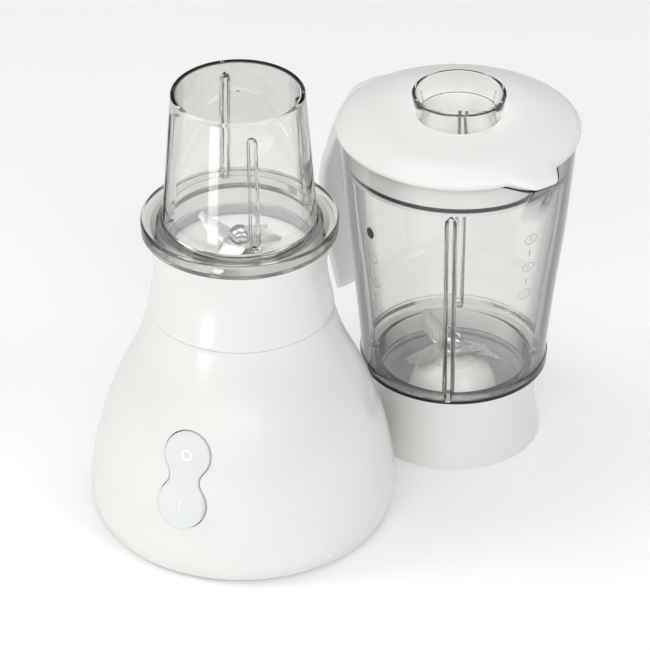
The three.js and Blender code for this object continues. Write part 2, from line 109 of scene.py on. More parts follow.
def add_strip():
    """A narrow, weak strip light low in front of the mill, for the upright gleam in its clear wall."""
    data = bpy.data.lights.new("strip", "AREA")
    data.shape = "RECTANGLE"
    data.size, data.size_y = 0.11, 0.1
    data.energy = 0.13
    lamp = bpy.data.objects.new("strip", data)
    turn, distance, height, tilt = math.radians(-104), 0.42, 0.055, -0.35
    out = Vector((math.cos(turn), math.sin(turn), 0))
    lamp.location = unit_axis + out * distance + Vector((0, 0, height))
    lamp.rotation_euler = (out + Vector((0, 0, tilt))).to_track_quat("Z", "Y").to_euler()
    lamp.visible_camera = False
    bpy.context.scene.collection.objects.link(lamp)


def add_lights():
    world = bpy.data.worlds.new("studio")
    world.use_nodes = True
    background = world.node_tree.nodes["Background"]
    background.inputs["Color"].default_value = (0.97, 0.98, 1.0, 1)
    background.inputs["Strength"].default_value = 0.22
    bpy.context.scene.world = world
    add_area("key_left", 205, 42, 1.5, (0.5, 1.1), 7, (1.0, 0.985, 0.96))
    add_area("fill_right", -20, 38, 1.8, (0.6, 0.9), 6.5, (0.97, 0.98, 1.0))
    add_area("front", -75, 32, 2.4, (2.2, 1.3), 23)
    add_strip()
    add_area("top", 90, 78, 1.6, (1.4, 1.2), 9)
    add_area("rear", 75, 25, 1.8, (1.4, 0.6), 4, glossy=False)


# ---------------------------------------------------------------- materials
def node_material(name):
    """A new material, with its node tree and its shader."""
    made = bpy.data.materials.new(name)
    made.use_nodes = True
    tree = made.node_tree
    shader = tree.nodes["Principled BSDF"]
    return made, tree, shader


def noise(tree, scale, detail=2.0, stretch=(1, 1, 1)):
    """Noise over the object's own coordinates; scale is cycles per metre."""
    coords = tree.nodes.new("ShaderNodeTexCoord")
    mapping = tree.nodes.new("ShaderNodeMapping")
    mapping.inputs["Scale"].default_value = stretch
    texture = tree.nodes.new("ShaderNodeTexNoise")
    texture.inputs["Scale"].default_value = scale
    texture.inputs["Detail"].default_value = detail
    tree.links.new(coords.outputs["Object"], mapping.inputs["Vector"])
    tree.links.new(mapping.outputs["Vector"], texture.inputs["Vector"])
    return texture.outputs["Fac"]


def spread(tree, value, low, high):
    """Maps 0 to 1 onto low to high."""
    ramp = tree.nodes.new("ShaderNodeMapRange")
    ramp.inputs["To Min"].default_value = low
    ramp.inputs["To Max"].default_value = high
    tree.links.new(value, ramp.inputs["Value"])
    return ramp.outputs["Result"]


def tinted(tree, value, dark, light):
    """Maps 0 to 1 onto two colours."""
    ramp = tree.nodes.new("ShaderNodeValToRGB")
    ramp.color_ramp.elements[0].color = (*dark, 1)
    ramp.color_ramp.elements[1].color = (*light, 1)
    tree.links.new(value, ramp.inputs["Fac"])
    return ramp.outputs["Color"]


def bump(tree, shader, value, strength, depth):
    made = tree.nodes.new("ShaderNodeBump")
    made.inputs["Strength"].default_value = strength
    made.inputs["Distance"].default_value = depth
    tree.links.new(value, made.inputs["Height"])
    tree.links.new(made.outputs["Normal"], shader.inputs["Normal"])


def white_plastic():
    """The glossy warm white of the casing, collars, lid and handle."""
    made, tree, shader = node_material("gloss_white_moulding")
    shade = tinted(tree, noise(tree, 9, 3), (0.80, 0.797, 0.775), (0.83, 0.828, 0.81))
    tree.links.new(shade, shader.inputs["Base Color"])
    tree.links.new(spread(tree, noise(tree, 60, 4), 0.2, 0.3), shader.inputs["Roughness"])
    bump(tree, shader, noise(tree, 220, 2), 0.05, 0.0004)
    shader.inputs["IOR"].default_value = 1.5
    shader.inputs["Coat Weight"].default_value = 0.25
    shader.inputs["Coat Roughness"].default_value = 0.08
    return made


def cool_plastic():
    """The switch's own, slightly cooler and softer plastic."""
    made, tree, shader = node_material("cool_white_moulding")
    shade = tinted(tree, noise(tree, 12, 3), (0.715, 0.73, 0.735), (0.745, 0.76, 0.765))
    tree.links.new(shade, shader.inputs["Base Color"])
    tree.links.new(spread(tree, noise(tree, 80, 4), 0.3, 0.4), shader.inputs["Roughness"])
    shader.inputs["Subsurface Weight"].default_value = 0.15
    shader.inputs["Subsurface Radius"].default_value = (0.002, 0.002, 0.0022)
    return made


def clear_plastic(name, edge, start, end, density):
    """Clear plastic that darkens to edge where it is seen edge on: painted shade for the dark surroundings seen in and
    through its edges; start and end say how far round that sets in.
    """
    made, tree, shader = node_material(name)
    # painted shade: the base colour runs from the plain tint face on to the dark edge colour edge on
    facing = tree.nodes.new("ShaderNodeLayerWeight")
    facing.inputs["Blend"].default_value = 0.5
    ramp = tree.nodes.new("ShaderNodeValToRGB")
    face_on, painted_shade_stop = ramp.color_ramp.elements
    face_on.position, face_on.color = start, (0.985, 0.977, 0.962, 1)
    painted_shade_stop.position, painted_shade_stop.color = end, (*edge, 1)
    tree.links.new(facing.outputs["Facing"], ramp.inputs["Fac"])
    tree.links.new(ramp.outputs["Color"], shader.inputs["Base Color"])
    shader.inputs["Transmission Weight"].default_value = 1
    shader.inputs["IOR"].default_value = 1.5
    tree.links.new(spread(tree, noise(tree, 40, 3), 0.0, 0.035), shader.inputs["Roughness"])
    bump(tree, shader, noise(tree, 45, 2), 0.012, 0.0004)
    absorb = tree.nodes.new("ShaderNodeVolumeAbsorption")
    absorb.inputs["Color"].default_value = (0.5, 0.485, 0.465, 1)
    absorb.inputs["Density"].default_value = density
    tree.links.new(absorb.outputs["Volume"], tree.nodes["Material Output"].inputs["Volume"])
    # Light passes through to what stands behind, so the plastic throws only a faint shadow.
    path = tree.nodes.new("ShaderNodeLightPath")
    through = tree.nodes.new("ShaderNodeBsdfTransparent")
    through.inputs["Color"].default_value = (0.93, 0.94, 0.95, 1)
    mix = tree.nodes.new("ShaderNodeMixShader")
    output = tree.nodes["Material Output"]
    tree.links.new(path.outputs["Is Shadow Ray"], mix.inputs["Fac"])
    tree.links.new(shader.outputs["BSDF"], mix.inputs[1])
    tree.links.new(through.outputs["BSDF"], mix.inputs[2])
    tree.links.new(mix.outputs["Shader"], output.inputs["Surface"])
    return made


def rubber(name, dark, light, rough=0.6, shine=0.5):
    """Any soft, unshiny surface: rubber, dull mouldings and printing ink."""
    made, tree, shader = node_material(name)
    tree.links.new(tinted(tree, noise(tree, 150, 4), dark, light), shader.inputs["Base Color"])
    tree.links.new(spread(tree, noise(tree, 300, 3), rough - 0.08, rough + 0.1), shader.inputs["Roughness"])
    bump(tree, shader, noise(tree, 900, 3), 0.15, 0.0002)
    shader.inputs["Specular IOR Level"].default_value = shine
    return made


def steel(name, dark, light, rough, stretch, metallic=1.0):
    """Brushed metal: fine noise drawn out along one direction."""
    made, tree, shader = node_material(name)
    grain = noise(tree, 500, 4, stretch)
    tree.links.new(tinted(tree, grain, dark, light), shader.inputs["Base Color"])
    tree.links.new(spread(tree, grain, rough - 0.06, rough + 0.1), shader.inputs["Roughness"])
    shader.inputs["Metallic"].default_value = metallic
    bump(tree, shader, grain, 0.08, 0.0001)
    return made


def bands(tree, scale, distortion=0.0):
    """Level layers, one above the other."""
    coords = tree.nodes.new("ShaderNodeTexCoord")
    wave = tree.nodes.new("ShaderNodeTexWave")
    wave.bands_direction = "Z"
    wave.inputs["Scale"].default_value = scale
    wave.inputs["Distortion"].default_value = distortion
    tree.links.new(coords.outputs["Object"], wave.inputs["Vector"])
    return wave.outputs["Fac"]


def winding():
    """Enamelled copper wire laid in turns."""
    made, tree, shader = node_material("copper_winding")
    layers = bands(tree, 320, 1.5)
    tree.links.new(tinted(tree, layers, (0.30, 0.09, 0.03), (0.72, 0.30, 0.13)), shader.inputs["Base Color"])
    shader.inputs["Metallic"].default_value = 0.85
    shader.inputs["Roughness"].default_value = 0.35
    bump(tree, shader, layers, 0.6, 0.0004)
    return made


def stacked_sheets():
    """The stator's thin steel sheets, seen edge on."""
    made, tree, shader = node_material("stacked_sheet_steel")
    layers = bands(tree, 300)
    tree.links.new(tinted(tree, layers, (0.12, 0.12, 0.13), (0.34, 0.35, 0.37)), shader.inputs["Base Color"])
    shader.inputs["Metallic"].default_value = 0.7
    shader.inputs["Roughness"].default_value = 0.5
    bump(tree, shader, layers, 0.4, 0.0003)
    return made


WHITE = white_plastic()
COOL = cool_plastic()
# the colour after each name is painted shade: the dark tint its edges take where they are seen edge on
CLEAR = clear_plastic("clear_moulding", (0.04, 0.034, 0.05), 0.44, 0.74, 38)
MILL_CLEAR = clear_plastic("clear_mill_moulding", (0.09, 0.08, 0.095), 0.5, 0.94, 34)
PALE_CLEAR = clear_plastic("clear_cap_moulding", (0.6, 0.59, 0.6), 0.5, 0.95, 12)
SEAL = rubber("dark_seal", (0.008, 0.009, 0.02), (0.016, 0.017, 0.032), 0.6, 0.2)
PALE_SEAL = rubber("pale_seal", (0.36, 0.37, 0.39), (0.46, 0.47, 0.49), 0.5)
# painted shade: the grey of the goblet's trough, which is white plastic lying in shade
TROUGH_SHADE = rubber("painted_trough_shade", (0.40, 0.38, 0.385), (0.46, 0.44, 0.445), 0.3)
FOOT = rubber("foot_rubber", (0.03, 0.03, 0.033), (0.06, 0.06, 0.065), 0.7)
BLACK = rubber("black_moulding", (0.018, 0.018, 0.02), (0.045, 0.045, 0.05), 0.45)
STEEL = steel("bright_steel", (0.56, 0.57, 0.58), (0.74, 0.75, 0.76), 0.2, (1, 1, 12))
BLADE = steel("ground_blade_steel", (0.74, 0.74, 0.73), (0.88, 0.88, 0.87), 0.24, (14, 1, 1), 0.8)
COPPER = winding()
SHEETS = stacked_sheets()
PRINT = rubber("scale_print", (0.42, 0.43, 0.45), (0.5, 0.51, 0.53), 0.5)
DARK_PRINT = rubber("dark_print", (0.012, 0.012, 0.014), (0.03, 0.03, 0.034), 0.4)
MARK = rubber("switch_mark", (0.88, 0.88, 0.87), (0.93, 0.93, 0.92), 0.35)


# ---------------------------------------------------------------- mesh helpers
def direction(degrees):
    """The level unit vectors away from an axis at an azimuth, and across it."""
    a = math.radians(degrees)
    return Vector((math.cos(a), math.sin(a), 0)), Vector((-math.sin(a), math.cos(a), 0))


def circle_angles(count):
    """Even angles round a circle, radians."""
    return np.linspace(0, 2 * math.pi, count, endpoint=False)


def smooth_step(low, high, value):
    t = np.clip((value - low) / (high - low), 0, 1)
    return t * t * (3 - 2 * t)


def spline(points, steps):
    """A Catmull-Rom curve through the points."""
    p = np.array([points[0], *points, points[-1]], float)
    out = []
    for i in range(1, len(p) - 2):
        for t in np.arange(0, 1, 1 / steps):
            a, b = p[i + 1] - p[i - 1], p[i + 2] - p[i]
            d = p[i + 1] - p[i]
            out.append(p[i] + a * t / 2 + (3 * d - a - b / 2) * t**2 + (a / 2 + b / 2 - 2 * d) * t**3)
    return np.array([*out, p[-2]])


def inset(curve, distance):
    """A curve of (radius, height) that runs upwards, moved towards the axis."""
    along = np.gradient(curve, axis=0)
    along /= np.linalg.norm(along, axis=1)[:, None]
    return np.stack([curve[:, 0] - along[:, 1] * distance, curve[:, 1] + along[:, 0] * distance], 1)


def rounded(outline, steps=5):
    """Rounds the corners of an outline: a point is (radius, height) or (radius, height, corner radius)."""
    points = [np.array(p[:2], float) for p in outline]
    radii = [p[2] if len(p) > 2 else 0 for p in outline]
    out = []
    for i, (corner, radius) in enumerate(zip(points, radii)):
        if not radius:
            out.append(corner)
            continue
        before, after = points[i - 1] - corner, points[(i + 1) % len(points)] - corner
        reach = min(np.linalg.norm(before), np.linalg.norm(after)) * 0.49
        before, after = before / np.linalg.norm(before), after / np.linalg.norm(after)
        half = math.acos(np.clip(before @ after, -1, 1)) / 2
        cut = min(radius / math.tan(half), reach)
        radius = cut * math.tan(half)
        centre = corner + (before + after) / np.linalg.norm(before + after) * radius / math.sin(half)
        start, end = corner + before * cut - centre, corner + after * cut - centre
        sweep = math.atan2(start[0] * end[1] - start[1] * end[0], start @ end)
        for k in range(steps + 1):
            t = sweep * k / steps
            turn = np.array([[math.cos(t), -math.sin(t)], [math.sin(t), math.cos(t)]])
            out.append(centre + turn @ start)
    return np.array(out)


def subdivided(outline, longest, fine_top, closed=True):
    """Adds points so that no step of the outline is longer than longest, or a third of that near fine_top."""
    out = []
    count = len(outline)
    for i in range(count if closed else count - 1):
        a, b = outline[i], outline[(i + 1) % count]
        # a long step that passes fine_top is split evenly, so it is short there too
        near = min(a[1], b[1]) < fine_top + 1 and max(a[1], b[1]) > fine_top - 6
        parts = max(1, math.ceil(np.linalg.norm(b - a) / (longest / 3 if near else longest)))
        out += [a + (b - a) * k / parts for k in range(parts)]
    return np.array(out if closed else [*out, outline[-1]])


def finish_mesh(name, bm, body, material, replaced=(), sharp=38, slot=None):
    """Turns a bmesh into a named piece that rides a body and stands in for the replaced CAD nodes."""
    bmesh.ops.remove_doubles(bm, verts=bm.verts, dist=1e-7)
    bmesh.ops.recalc_face_normals(bm, faces=bm.faces)
    mesh = bpy.data.meshes.new(name)
    bm.to_mesh(mesh)
    bm.free()
    mesh.shade_smooth()
    mesh.set_sharp_from_angle(angle=math.radians(sharp))
    mesh.materials.append(material)
    piece = bpy.data.objects.new(name, mesh)
    bpy.context.scene.collection.objects.link(piece)
    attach(piece, body)
    if replaced:
        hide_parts(*replaced)
    return piece


def turned_mesh(outline, axis, base=0.0, columns=160, shape=None, closed=True):
    """Turns an outline about the upright line through axis. Columns is a count or a list of degrees.
    shape(azimuth, radius, height) may move the points; all three are arrays."""
    angles = np.arange(columns) * 360 / columns if isinstance(columns, int) else np.array(columns)
    azimuth, radius = np.meshgrid(angles, outline[:, 0], indexing="ij")
    height = np.broadcast_to(outline[:, 1], radius.shape)
    if shape:
        radius, height = shape(azimuth, radius, height)
    a = np.radians(azimuth)
    x = (radius * np.cos(a)) * MM + axis.x
    y = (radius * np.sin(a)) * MM + axis.y
    z = (height + base) * MM
    bm = bmesh.new()
    pole = outline[:, 0] < 1e-6
    rows, around = outline.shape[0], len(angles)
    verts = []
    for j in range(rows):
        if pole[j]:
            shared = bm.verts.new((axis.x, axis.y, z[0, j]))
            verts.append([shared] * around)
        else:
            verts.append([bm.verts.new((x[i, j], y[i, j], z[i, j])) for i in range(around)])
    for j in range(rows if closed else rows - 1):
        low, high = verts[j], verts[(j + 1) % rows]
        for i in range(around):
            k = (i + 1) % around
            corners = list(dict.fromkeys((low[i], low[k], high[k], high[i])))
            if len(corners) > 2:
                bm.faces.new(corners)
    return bm


def turned(name, outline, axis, body, material, replaced, base=0.0, **options):
    """A turned piece whose outline is a closed loop, or runs from the axis back to the axis."""
    points = rounded(outline)
    touches_axis = points[0][0] < 1e-6 and points[-1][0] < 1e-6
    extra = {key: options.pop(key) for key in ("sharp", "slot") if key in options}
    bm = turned_mesh(points, axis, base, closed=not touches_axis, **options)
    return finish_mesh(name, bm, body, material, replaced, **extra)


def columns_near(count, centres, half_width, extra):
    """Even columns round the circle, with more of them within half_width degrees of each centre."""
    even = list(np.arange(count) * 360 / count)
    fine = [c + d for c in centres for d in np.linspace(-half_width, half_width, extra)]
    near = lambda a: any(abs((a - c + 180) % 360 - 180) < half_width + 0.4 for c in centres)
    return sorted({round(a % 360, 4) for a in [a for a in even if not near(a)] + fine})


def cut_out(piece, cutter):
    """Subtracts cutter from piece and removes it."""
    modifier = piece.modifiers.new("cut", "BOOLEAN")
    modifier.operation = "DIFFERENCE"
    modifier.solver = "EXACT"
    modifier.object = cutter
    depsgraph = bpy.context.evaluated_depsgraph_get()
    mesh = bpy.data.meshes.new_from_object(piece.evaluated_get(depsgraph))
    piece.modifiers.clear()
    piece.data = mesh
    bpy.data.objects.remove(cutter)
    mesh.shade_smooth()
    mesh.set_sharp_from_angle(angle=math.radians(32))
    return piece


def loose_object(name, bm):
    """A plain object with no body, for use as a cutter."""
    mesh = bpy.data.meshes.new(name)
    bmesh.ops.recalc_face_normals(bm, faces=bm.faces)
    bm.to_mesh(mesh)
    bm.free()
    made = bpy.data.objects.new(name, mesh)
    bpy.context.scene.collection.objects.link(made)
    return made


def loft(rings, cap=True):
    """Skins a list of rings that have the same number of points, and closes both ends if cap is set."""
    bm = bmesh.new()
    verts = [[bm.verts.new(p) for p in ring] for ring in rings]
    for low, high in zip(verts, verts[1:]):
        for i in range(len(low)):
            k = (i + 1) % len(low)
            bm.faces.new((low[i], low[k], high[k], high[i]))
    if cap:
        bm.faces.new(verts[0])
        bm.faces.new(verts[-1])
    return bm


# ---------------------------------------------------------------- power unit
# outlines are (radius, height above the floor or above a piece's base)
HOUSING = [(78.3, 1.5), (81.5, 13), (79.9, 28), (75.5, 50), (67, 75), (55.4, 100), (49.4, 118), (48.6, 123.7)]
# the switch's face leans back by SWITCH_TILT; its two discs are SWITCH_HIGH above and below its middle
SWITCH_TILT = math.radians(17.3)
SWITCH_REST = math.radians(-3)
SWITCH_FACE, SWITCH_MIDDLE = 72.8, 58.05
SWITCH_HIGH, SWITCH_UPPER, SWITCH_LOWER, SWITCH_WAIST = 13.25, 12.7, 13.3, 7.7


def figure_eight(grow, arc=22):
    """The outline of the switch, grown all round: two circles blended at the waist."""
    to_upper, to_lower, span = SWITCH_UPPER + SWITCH_WAIST, SWITCH_LOWER + SWITCH_WAIST, 2 * SWITCH_HIGH
    down = (to_upper**2 + span**2 - to_lower**2) / (2 * span)
    side = math.sqrt(to_upper**2 - down**2)
    waist = SWITCH_HIGH - down
    up, under = math.atan2(down, side), math.atan2(-SWITCH_HIGH - waist, side)
    arcs = [
        (0, SWITCH_HIGH, SWITCH_UPPER + grow, -up, math.pi + up),
        (-side, waist, SWITCH_WAIST - grow, up, under),
        (0, -SWITCH_HIGH, SWITCH_LOWER + grow, math.pi + under, 2 * math.pi - under),
        (side, waist, SWITCH_WAIST - grow, math.pi - under, math.pi - up),
    ]
    return [
        (x + r * math.cos(a), y + r * math.sin(a))
        for x, y, r, start, end in arcs
        for a in np.linspace(start, end, arc, endpoint=False)
    ]


def on_switch(x, y, z, tip=0.0):
    """A point of the switch's own plane (across, up the face, out of it) in the row frame, in metres."""
    y, z = y * math.cos(tip) - z * math.sin(tip), y * math.sin(tip) + z * math.cos(tip)
    out = -(SWITCH_FACE + z * math.cos(SWITCH_TILT) - y * math.sin(SWITCH_TILT))
    up = SWITCH_MIDDLE + y * math.cos(SWITCH_TILT) + z * math.sin(SWITCH_TILT)
    return Vector((unit_axis.x + x * MM, unit_axis.y + out * MM, up * MM))


def motor_housing():
    curve = spline(HOUSING, 9)
    inner = inset(curve, 2.6)
    inner = inner[(inner[:, 1] > 4) & (inner[:, 1] < 116)][::-1]
    outline = [(78.3, 1.5, 0.9), *curve[1:-1], (48.6, 123.7, 0.9), (44.3, 123.7, 0.4), (44.3, 120.9),
               (40.3, 120.9, 0.4), (40.3, 118.3), (46.2, 118.3), *inner, (75.7, 1.5, 0.4)]
    housing = turned("motor_housing_shell", [tuple(p) for p in outline], unit_axis, "power_unit", WHITE,
                     ["motor_housing"], columns=192)
    rings = [[on_switch(x, y, z) for x, y in figure_eight(0.5)] for z in (-14, 10)]
    cut_out(housing, loose_object("switch_opening", loft(rings)))
    spot = unit_axis + Vector((0, 0, 18 * MM))
    circle = [(5.6 * math.cos(a), 5.6 * math.sin(a)) for a in circle_angles(48)]
    rings = [[spot + Vector((u, out, v)) * MM for u, v in circle] for out in (70, 90)]
    cut_out(housing, loose_object("inlet_opening", loft(rings)))
    return housing


def rocker_switch():
    # grow, height above the casing's face: the edge rolls over into a faint dish
    section = [(0, -5), (0, 0.1), (-0.12, 0.5), (-0.45, 0.86), (-1.0, 1.02), (-2, 1.0), (-4, 0.82), (-6, 0.7)]
    rings = [[on_switch(x, y, z, SWITCH_REST) for x, y in figure_eight(grow)] for grow, z in section]
    rocker = finish_mesh("rocker_cap", loft(rings), "rocker", COOL, ["rocker_switch"], sharp=60)
    ring = [(3.1, 0.62), (3.1, 1.0), (2.8, 1.08), (2.2, 1.08), (1.9, 1.0), (1.9, 0.62)]
    bm = bmesh.new()
    around = [[bm.verts.new(on_switch(r * math.cos(a), SWITCH_HIGH + r * math.sin(a), z, SWITCH_REST))
               for r, z in ring] for a in circle_angles(48)]
    for i, here in enumerate(around):
        there = around[(i + 1) % len(around)]
        for j in range(len(ring)):
            k = (j + 1) % len(ring)
            bm.faces.new((here[j], here[k], there[k], there[j]))
    finish_mesh("switch_off_mark", bm, "rocker", MARK, slot="white_plastic")
    stroke = [(0.5 * math.cos(a), (2.8 if math.sin(a) > 0 else -2.8) + 0.5 * math.sin(a) - SWITCH_HIGH)
              for a in circle_angles(24)]
    rings = [[on_switch(x * s, (y + SWITCH_HIGH) * s - SWITCH_HIGH, z, SWITCH_REST) for x, y in stroke]
             for s, z in ((1, 0.6), (1, 1.0), (0.9, 1.08))]
    finish_mesh("switch_on_mark", loft(rings), "rocker", MARK, slot="white_plastic")
    return rocker


def socket_deck():
    return turned("socket_deck_moulding", [
        (44, 121.2, 0.3), (44, 123.7, 0.4), (40, 123.7, 0.6), (40, 131, 1.2), (15.5, 131, 0.8), (15.5, 112, 0.3),
        (18, 112, 0.3), (18, 128.5, 0.5), (37.5, 128.5, 0.5), (37.5, 117), (40, 117), (40, 121.2),
    ], unit_axis, "power_unit", WHITE, ["socket_deck"], columns=144)


def star_radius(angle, teeth, outer, inner):
    """The radius of a straight-sided star, at an angle from one of its points."""
    half = math.pi / teeth
    off = abs((angle + half) % (2 * half) - half)
    return outer * inner * math.sin(half) / (outer * math.sin(off) + inner * math.sin(half - off))


def drive_plug():
    """The toothed plug of the motor's drive coupling."""
    teeth, outer, inner, blunt = 8, 11, 9, 0.15
    rings = []
    for z, grow in ((123, 0), (138.6, 0), (139.5, -0.8)):
        ring = []
        for k in range(teeth * 12):
            a = 2 * math.pi * k / (teeth * 12)
            r = min(star_radius(a, teeth, outer, inner), outer - blunt) + grow
            ring.append(Vector((unit_axis.x + r * math.cos(a) * MM, unit_axis.y + r * math.sin(a) * MM, z * MM)))
        rings.append(ring)
    return finish_mesh("drive_coupling_plug", loft(rings), "rotor", BLACK, ["drive_coupling"])


def drive_flange():
    """The round flange that the toothed plug stands on."""
    return turned("drive_coupling_flange", [(0, 120.5), (12.6, 120.5, 0.5), (12.6, 124.5, 0.6), (0, 124.5)],
                  unit_axis, "rotor", BLACK, [], columns=96, slot="black_plastic")


# ---------------------------------------------------------------- collars
COLLAR = [(48.6, 0), (48.3, 3), (46, 14), (45, 25), (46, 35), (48.4, 44.6)]


def collar(name, axis, base, body, node, floor):
    """A flared white collar; floor is the inner part of its outline."""
    curve = spline(COLLAR, 9)
    outline = [(48.6, 0, 0.7), *[tuple(p) for p in curve[1:-1]], (48.4, 44.6, 0.8), (46, 44.6, 0.8), (43.5, 35, 1),
               *floor, (45.2, 6), (46.2, 0, 0.6)]
    return turned(name, outline, axis, body, WHITE, [node], base, columns=160)


def mill_collar():
    floor = [(43.3, 30, 1.2), (9.3, 30, 0.4), (9.3, 26.5, 0.3), (42.6, 26.5, 0.8)]
    return collar("mill_collar_moulding", unit_axis, mill_foot, "mill_base", "mill_collar", floor)


def goblet_collar():
    floor = [(43.6, 28, 0.6), (38, 28, 0.4), (38, 25, 0.4), (43, 25, 0.6)]
    return collar("goblet_collar_moulding", goblet_axis, 0, "goblet_base", "goblet_collar", floor)


def seal_ring(name, node, body, axis, material, radii, heights, corner, base=0.0, columns=128):
    """A plain ring with rounded edges."""
    (inner, outer), (low, high) = radii, heights
    outline = [(inner, low, corner), (outer, low, corner), (outer, high, corner), (inner, high, corner)]
    return turned(name, outline, axis, body, material, [node], base, columns=columns)


def mill_seal():
    return seal_ring("mill_seal_ring", "mill_seal", "mill_base", unit_axis, PALE_SEAL,
                     (38.8, 42.8), (30.3, 36.3), 0.6, mill_foot)


def goblet_seal():
    return seal_ring("goblet_seal_ring", "goblet_seal", "goblet_base", goblet_axis, PALE_SEAL,
                     (40.2, 43), (31.7, 34.2), 0.6)


def lid_seal():
    return seal_ring("lid_seal_ring", "lid_seal", "goblet_lid", goblet_axis, SEAL,
                     (57.9, 59.2), (170.8, 173.2), 0.5, columns=160)


# ---------------------------------------------------------------- clear walls with ribs
def rib_shape(azimuths, top, bottom, half_width, depth_at, wall_at):
    """Presses upright flutes with round upper ends into a wall from outside, so that they stand in ribs
    on its inside. wall_at gives the outer radius at a height; the wall has to be over 1.5 mm thick."""

    def shape(azimuth, radius, height):
        cap = np.clip((height - (top - half_width)) / half_width, 0, 1)
        width = half_width * np.sqrt(np.clip(1 - cap**2, 1e-6, 1))
        wall = wall_at(height)
        inner, outer = radius < wall - 1.5, np.abs(radius - wall) < 0.5
        push = np.zeros_like(radius)
        for centre in azimuths:
            off = np.radians(np.abs((azimuth - centre + 180) % 360 - 180)) * radius
            rib = 1 - smooth_step(0.62, 0.98, off / width)
            flute = 0.75 * (1 - smooth_step(0.34, 0.66, off / width))
            push = np.maximum(push, np.where(inner, rib, np.where(outer, flute, 0)))
        within = (height < top) & (height > bottom) & (radius > wall - 7)
        return radius - np.where(within, push * depth_at(height), 0), height

    return shape


def mill_jar():
    top, low, high = 125.4, 45, 53
    outline = rounded([
        (0, top - 1.9), (31.9, top - 1.9, 0.9), (37.9, high), (38.4, low), (38.6, 36.6, 0.6), (42.7, 36.6, 0.6),
        (42.7, low, 0.5), (51, low, 1.3), (51, high, 1.6), (41, high, 1.2), (39.8, high + 0.6, 0.3),
        (34, top, 1.5), (0.9, top), (0.7, top - 0.35), (0, top - 0.35),
    ])
    rib_top = top - 9
    outline = subdivided(outline, 2.1, rib_top, closed=False)
    ribs = [MILL_RIBS + 90 * k for k in range(4)]
    wall_at = lambda height: np.interp(height, (high, top), (39.8, 34))
    depth_at = lambda height: np.interp(height, (high, top), (3.8, 2.6))
    shape = rib_shape(ribs, rib_top, high + 1.5, 2.9, depth_at, wall_at)
    bm = turned_mesh(outline, unit_axis, mill_foot, columns_near(150, ribs, 6.5, 41), shape, closed=False)
    return finish_mesh("mill_jar_clear", bm, "mill_cup", MILL_CLEAR, ["mill_jar"], sharp=50)


GOBLET_RIM = 186.5
GOBLET = spline([(51.2, 45), (51.2, 50), (50.8, 57), (54.5, 95), (58.5, 130), (61, 160), (63, GOBLET_RIM)], 9)


def spout_swell(azimuth, half_angle):
    """1 at the middle of the spout, with a blunt nose, falling to 0 at half_angle."""
    off = np.abs((azimuth - SPOUT + 180) % 360 - 180) / half_angle
    return 1 - smooth_step(0.25, 1, off)


def pull_spout(azimuth, radius, height):
    """Swings the goblet's wall out into the spout, more and more from its start up to the rim."""
    start, reach, half_angle = 156, 11.5, 19
    rise = np.clip((height - start) / (GOBLET_RIM - start), 0, 1)
    return radius + reach * spout_swell(azimuth, half_angle) * rise**1.6


def goblet():
    inner = inset(GOBLET, 2.4)
    inner = inner[(inner[:, 1] > 49.5) & (inner[:, 1] < GOBLET_RIM - 1)][::-1]
    outline = [(51.2, 45, 0.9), *[tuple(p) for p in GOBLET[1:-1]], (63, GOBLET_RIM, 0.9), (60.6, GOBLET_RIM, 0.9),
               *[tuple(p) for p in inner], (47.4, 48.6, 0.8), (40.2, 47, 0.9), (40.2, 34.5, 0.6), (43.2, 34.5, 0.6),
               (43.2, 45, 0.4)]
    rib_top = 167
    outline = subdivided(rounded(outline), 2.2, rib_top)
    ribs = [GOBLET_RIBS + 90 * k for k in range(4)]
    wall_at = lambda height: np.interp(height, GOBLET[:, 1], GOBLET[:, 0])
    depth_at = lambda height: np.interp(height, (48, 90, rib_top), (4.6, 4, 3))
    ridges = rib_shape(ribs, rib_top, 46.5, 3.2, depth_at, wall_at)

    def shape(azimuth, radius, height):
        radius, height = ridges(azimuth, radius, height)
        return pull_spout(azimuth, radius, height), height

    fine = columns_near(168, [*ribs, SPOUT], 5, 41)
    bm = turned_mesh(outline, goblet_axis, 0, fine, shape)
    return finish_mesh("goblet_clear", bm, "goblet_jug", CLEAR, ["goblet"], sharp=50)


def handle_lug():
    """The clear lug on the goblet that the handle's pin passes through."""
    out, side = direction(HANDLE)
    rings = [[goblet_axis + (out * r + side * s * half) * MM + Vector((0, 0, z * MM))
              for s, half in ((-1, 4), (1, 4)) for z in ((166.5, 179.5) if s < 0 else (179.5, 166.5))]
             for r in (62.0, 69.4)]
    return finish_mesh("handle_lug", loft(rings), "goblet_jug", CLEAR, slot="clear_plastic")


def lid():
    """The lid, with a beak that covers the goblet's spout and a plug that reaches down into the goblet."""
    rim, plug = GOBLET_RIM + 0.4, GOBLET_RIM - 18
    crown = spline([(63.2, 189.9), (60, 191.1), (45, 194.3), (23, 195.8)], 6)
    outline = [(64.8, rim, 0.9), (64.8, 189.3, 1.5), *[tuple(p) for p in crown[:-1]], (21.9, 195.8, 0.7),
               (21.9, 183.4, 0.5), (24.2, 183.4, 0.5), (24.2, 192.4, 0.8), (57, 188.4, 0.8), (56.8, plug, 0.4),
               (59, plug, 0.4), (59.1, plug + 2), (57.6, plug + 2), (57.6, plug + 5), (59.4, plug + 5),
               (60, rim, 0.2)]

    def shape(azimuth, radius, height):
        outer = smooth_step(56, 64.8, radius) * (height > rim - 0.2)
        swell = spout_swell(azimuth, 15) * outer
        # only the top of the beak dips, so that its underside stays clear of the goblet's rim
        return radius + 10.5 * swell, height - 1.4 * swell * smooth_step(rim, 189.3, height)

    fine = columns_near(168, [SPOUT], 24, 61)
    return turned("lid_moulding", outline, goblet_axis, "goblet_lid", WHITE, ["lid"], columns=fine, shape=shape)


